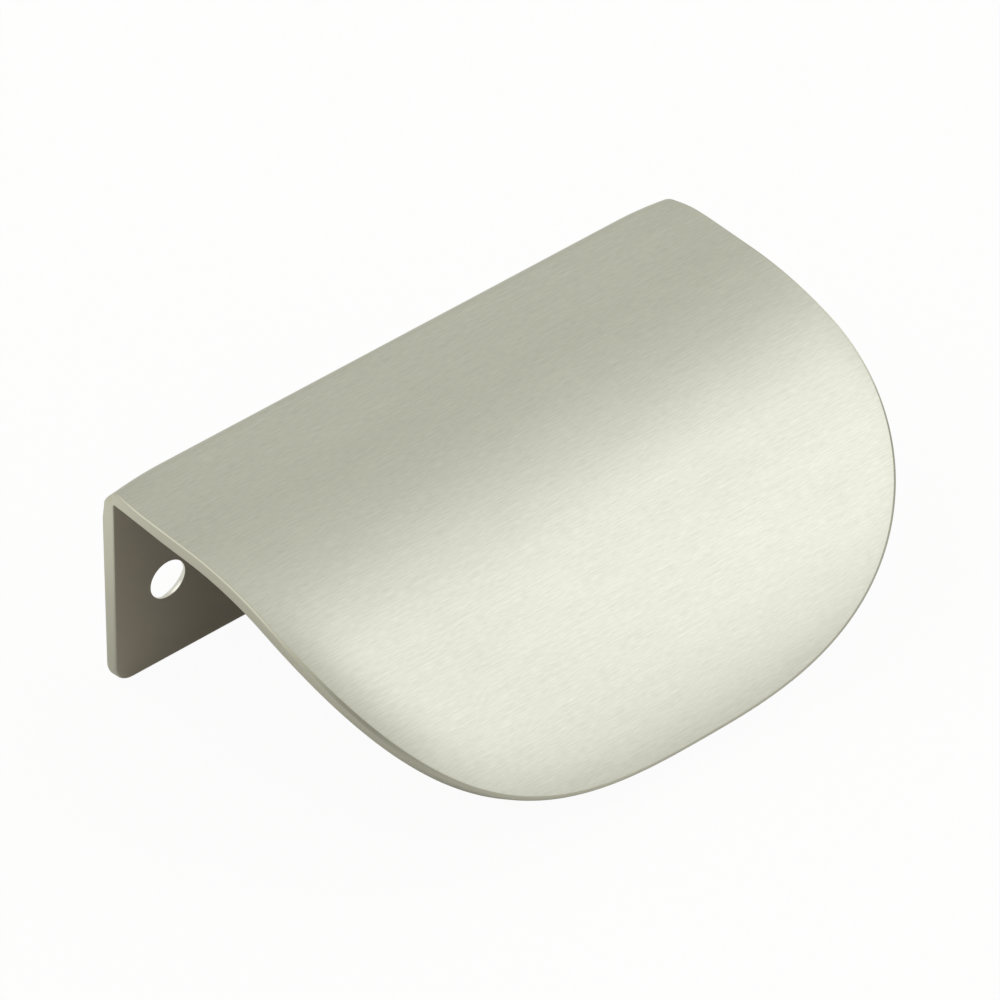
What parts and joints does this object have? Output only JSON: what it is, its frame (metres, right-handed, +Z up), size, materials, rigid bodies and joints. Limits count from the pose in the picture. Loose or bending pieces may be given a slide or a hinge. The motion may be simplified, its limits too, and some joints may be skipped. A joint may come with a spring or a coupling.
{
  "type": "edge pull",
  "caption": "Folded sheet-metal edge pull with a flat screw flange, a square fold and a wide lip that bends down to a rounded front edge.",
  "frame": {"origin": "on the flange's mounting face, midway between the two screw holes", "axes": "+X along the fold, +Y from the mounting face through the flange towards the inside of the drawer, +Z up; the lip points to -Y"},
  "size_m": [0.079, 0.0507, 0.0265],
  "materials": {
    "brushed_nickel": "satin nickel plate, brushed along the fold"
  },
  "bodies": {
    "root": {"edge_pull": "brushed_nickel"}
  },
  "joints": []
}
